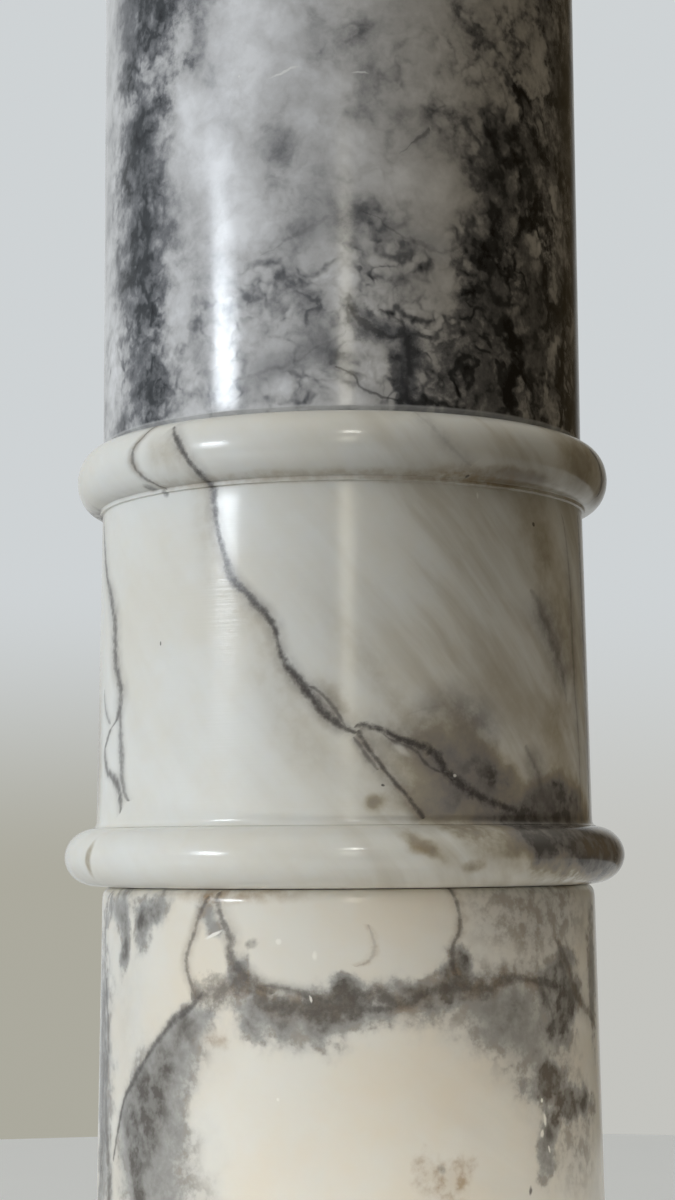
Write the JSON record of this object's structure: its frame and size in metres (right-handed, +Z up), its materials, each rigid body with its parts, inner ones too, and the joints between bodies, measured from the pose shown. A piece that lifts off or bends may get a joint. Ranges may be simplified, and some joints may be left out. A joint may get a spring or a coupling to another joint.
{
  "type": "marble column",
  "caption": "Free-standing turned marble column with a ringed collar between two shafts, on a square plinth, with a square slab on top to carry a display piece.",
  "frame": {"origin": "on the floor, under the middle of the plinth", "axes": "+Z up along the column, -Y towards the side that the picture shows, +X to that viewer's right"},
  "size_m": [0.25, 0.25, 0.992],
  "materials": {
    "grey_marble": "polished, dark blue-grey veins round pale nodules",
    "white_marble": "polished, a few dark grey-brown veins",
    "cream_marble": "polished, grey and rust-brown veins"
  },
  "bodies": {
    "root": {"plinth": "cream_marble", "foot_moulding": "cream_marble", "lower_shaft": "cream_marble", "collar": "white_marble", "upper_shaft": "grey_marble", "cap_moulding": "white_marble", "top_slab": "white_marble"}
  },
  "joints": []
}
